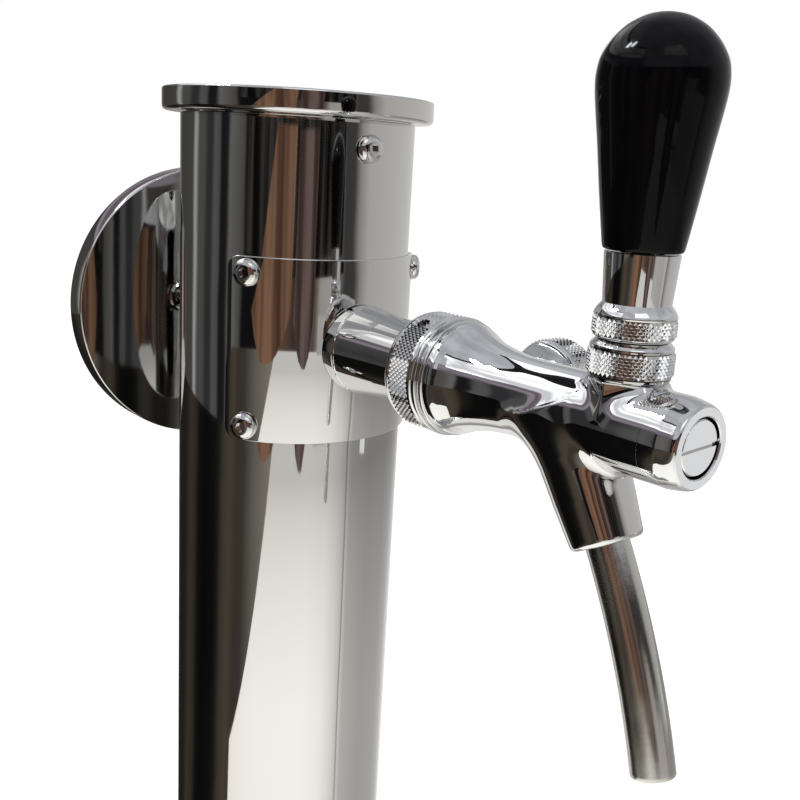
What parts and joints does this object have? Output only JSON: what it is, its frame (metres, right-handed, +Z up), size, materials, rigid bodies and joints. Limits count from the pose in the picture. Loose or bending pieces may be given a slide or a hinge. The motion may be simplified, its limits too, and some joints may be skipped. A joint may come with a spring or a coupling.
{
  "type": "draft beer dispenser",
  "caption": "Polished column tower with a flow-control beer faucet on a curved plate, a pear handle, a curved spout and a blank round medallion.",
  "frame": {"origin": "the column's axis at the counter top, under the base gasket", "axes": "+Z up along the column, -Y along the shank towards the faucet and the user, +X to the user's right"},
  "size_m": [0.14, 0.2482, 0.3974],
  "materials": {
    "polished_steel": "mirror-polished stainless steel",
    "chrome": "bright chrome plate",
    "satin_steel": "satin stainless steel",
    "brass": "plain turned brass",
    "black_grip": "glossy black moulded plastic",
    "rubber": "black rubber",
    "washer": "white plastic",
    "lens": "blank pale lens"
  },
  "bodies": {
    "tower": {"column_tube": "polished_steel", "base_flange": "polished_steel", "base_gasket": "rubber", "top_cap": "polished_steel", "faucet_plate": "polished_steel", "cap_screw_front": "polished_steel", "cap_screw_rear": "polished_steel", "plate_screw_top_left": "polished_steel", "plate_screw_bottom_left": "polished_steel", "plate_screw_top_right": "polished_steel", "plate_screw_bottom_right": "polished_steel", "shank_saddle": "polished_steel", "stub_pipe": "polished_steel", "shank": "chrome", "shank_backing_washer": "satin_steel", "shank_locknut": "brass", "tail_piece": "chrome", "tail_washer": "washer", "tail_nut": "chrome", "coupling_nut": "chrome", "coupling_washer": "washer", "faucet_body": "chrome", "nose_plug": "chrome", "spout_tube": "satin_steel", "spout_seal": "rubber", "bonnet_collar": "chrome", "lever_washer": "washer", "flow_gland": "brass", "medallion_disc": "polished_steel", "medallion_lens": "lens", "medallion_stand": "polished_steel", "stand_washer": "satin_steel", "stand_nut": "satin_steel"},
    "lever": {"lever_stem": "chrome", "lever_collar": "chrome", "handle_insert": "brass", "handle_grip": "black_grip"},
    "valve": {"plunger": "satin_steel", "plunger_seal": "rubber"},
    "flow_control": {"flow_shaft": "satin_steel", "flow_knob": "chrome"},
    "compensator": {"compensator_cone": "washer"}
  },
  "joints": [
    {"name": "lever_pull", "type": "hinge", "parent": "tower", "child": "lever", "pos_m": [0, -0.1491, 0.314], "axis": [1, 0, 0], "range_deg": [0, 30]},
    {"name": "valve_slide", "type": "slide", "parent": "tower", "child": "valve", "axis": [0, 1, 0], "range_m": [0, 0.007]},
    {"name": "flow_turn", "type": "hinge", "parent": "tower", "child": "flow_control", "pos_m": [0, -0.108, 0.3], "axis": [1, 0, 0], "range_deg": [0, 180]},
    {"name": "compensator_slide", "type": "slide", "parent": "tower", "child": "compensator", "axis": [0, -1, 0], "range_m": [0, 0.0028]}
  ],
  "couplings": [
    {"joint": "valve_slide", "follows": "lever_pull", "m_per_rad": 0.01336},
    {"joint": "compensator_slide", "follows": "flow_turn", "m_per_rad": 0.00089}
  ]
}
